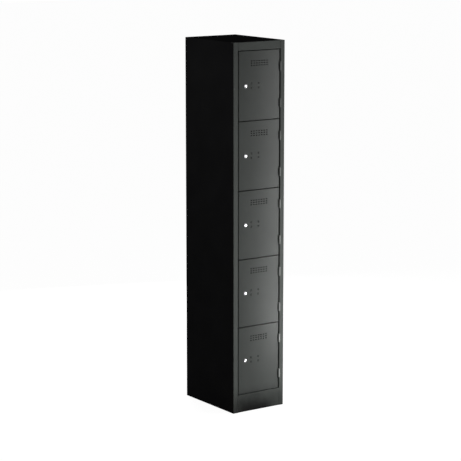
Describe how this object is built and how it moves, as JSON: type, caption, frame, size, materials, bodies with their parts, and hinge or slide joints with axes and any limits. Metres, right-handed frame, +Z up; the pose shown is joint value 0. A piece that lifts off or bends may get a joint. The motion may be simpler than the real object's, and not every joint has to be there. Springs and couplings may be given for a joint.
{
  "type": "locker cabinet",
  "caption": "Tall narrow steel locker with hinged, lockable doors one above the other, vent slots, shelves between and a plinth.",
  "frame": {"origin": "on the floor, under the middle of the cabinet's footprint", "axes": "+Z up, doors face -Y, hinges on the +X side"},
  "size_m": [0.3, 0.4179, 1.8],
  "materials": {
    "shell_paint": "near-black matt powder coat, fine texture",
    "frame_paint": "graphite powder coat, satin, fine texture",
    "door_paint": "graphite powder coat, satin, fine texture",
    "hinge_paint": "light grey semi-gloss paint over a welded steel hinge and its pin",
    "lock_chrome": "polished chrome plate",
    "plated_steel": "zinc-plated steel",
    "buffer_rubber": "black rubber"
  },
  "bodies": {
    "cabinet": {"side_left": "shell_paint", "side_right": "shell_paint", "back_panel": "shell_paint", "top_panel": "shell_paint", "base_panel": "shell_paint", "shelf_1": "shell_paint", "shelf_2": "shell_paint", "shelf_3": "shell_paint", "shelf_4": "shell_paint", "stile_left": "frame_paint", "stile_right": "frame_paint", "top_rail": "frame_paint", "plinth": "frame_paint", "hinge_frame_leaves": "hinge_paint", "hinge_pins": "hinge_paint", "door_buffers": "buffer_rubber"},
    "door_leaf_1": {"door_1": "door_paint", "stiffener_1": "door_paint", "hinge_door_leaves_1": "hinge_paint", "lock_housing_1": "lock_chrome", "lock_nut_1": "plated_steel"},
    "lock_core_1": {"lock_plug_1": "lock_chrome", "lock_cam_1": "plated_steel", "cam_bolt_1": "plated_steel"},
    "door_leaf_2": {"door_2": "door_paint", "stiffener_2": "door_paint", "hinge_door_leaves_2": "hinge_paint", "lock_housing_2": "lock_chrome", "lock_nut_2": "plated_steel"},
    "lock_core_2": {"lock_plug_2": "lock_chrome", "lock_cam_2": "plated_steel", "cam_bolt_2": "plated_steel"},
    "door_leaf_3": {"door_3": "door_paint", "stiffener_3": "door_paint", "hinge_door_leaves_3": "hinge_paint", "lock_housing_3": "lock_chrome", "lock_nut_3": "plated_steel"},
    "lock_core_3": {"lock_plug_3": "lock_chrome", "lock_cam_3": "plated_steel", "cam_bolt_3": "plated_steel"},
    "door_leaf_4": {"door_4": "door_paint", "stiffener_4": "door_paint", "hinge_door_leaves_4": "hinge_paint", "lock_housing_4": "lock_chrome", "lock_nut_4": "plated_steel"},
    "lock_core_4": {"lock_plug_4": "lock_chrome", "lock_cam_4": "plated_steel", "cam_bolt_4": "plated_steel"},
    "door_leaf_5": {"door_5": "door_paint", "stiffener_5": "door_paint", "hinge_door_leaves_5": "hinge_paint", "lock_housing_5": "lock_chrome", "lock_nut_5": "plated_steel"},
    "lock_core_5": {"lock_plug_5": "lock_chrome", "lock_cam_5": "plated_steel", "cam_bolt_5": "plated_steel"}
  },
  "joints": [
    {"name": "door_1_hinge", "type": "hinge", "parent": "cabinet", "child": "door_leaf_1", "pos_m": [0.121, -0.2091, 0.2564], "axis": [0, 0, 1], "range_deg": [0, 170]},
    {"name": "lock_1_turn", "type": "hinge", "parent": "door_leaf_1", "child": "lock_core_1", "pos_m": [-0.0805, -0.205, 0.2564], "axis": [0, 1, 0], "range_deg": [0, 90]},
    {"name": "door_2_hinge", "type": "hinge", "parent": "cabinet", "child": "door_leaf_2", "pos_m": [0.121, -0.2091, 0.5902], "axis": [0, 0, 1], "range_deg": [0, 170]},
    {"name": "lock_2_turn", "type": "hinge", "parent": "door_leaf_2", "child": "lock_core_2", "pos_m": [-0.0805, -0.205, 0.5902], "axis": [0, 1, 0], "range_deg": [0, 90]},
    {"name": "door_3_hinge", "type": "hinge", "parent": "cabinet", "child": "door_leaf_3", "pos_m": [0.121, -0.2091, 0.924], "axis": [0, 0, 1], "range_deg": [0, 170]},
    {"name": "lock_3_turn", "type": "hinge", "parent": "door_leaf_3", "child": "lock_core_3", "pos_m": [-0.0805, -0.205, 0.924], "axis": [0, 1, 0], "range_deg": [0, 90]},
    {"name": "door_4_hinge", "type": "hinge", "parent": "cabinet", "child": "door_leaf_4", "pos_m": [0.121, -0.2091, 1.2578], "axis": [0, 0, 1], "range_deg": [0, 170]},
    {"name": "lock_4_turn", "type": "hinge", "parent": "door_leaf_4", "child": "lock_core_4", "pos_m": [-0.0805, -0.205, 1.2578], "axis": [0, 1, 0], "range_deg": [0, 90]},
    {"name": "door_5_hinge", "type": "hinge", "parent": "cabinet", "child": "door_leaf_5", "pos_m": [0.121, -0.2091, 1.5916], "axis": [0, 0, 1], "range_deg": [0, 170]},
    {"name": "lock_5_turn", "type": "hinge", "parent": "door_leaf_5", "child": "lock_core_5", "pos_m": [-0.0805, -0.205, 1.5916], "axis": [0, 1, 0], "range_deg": [0, 90]}
  ]
}
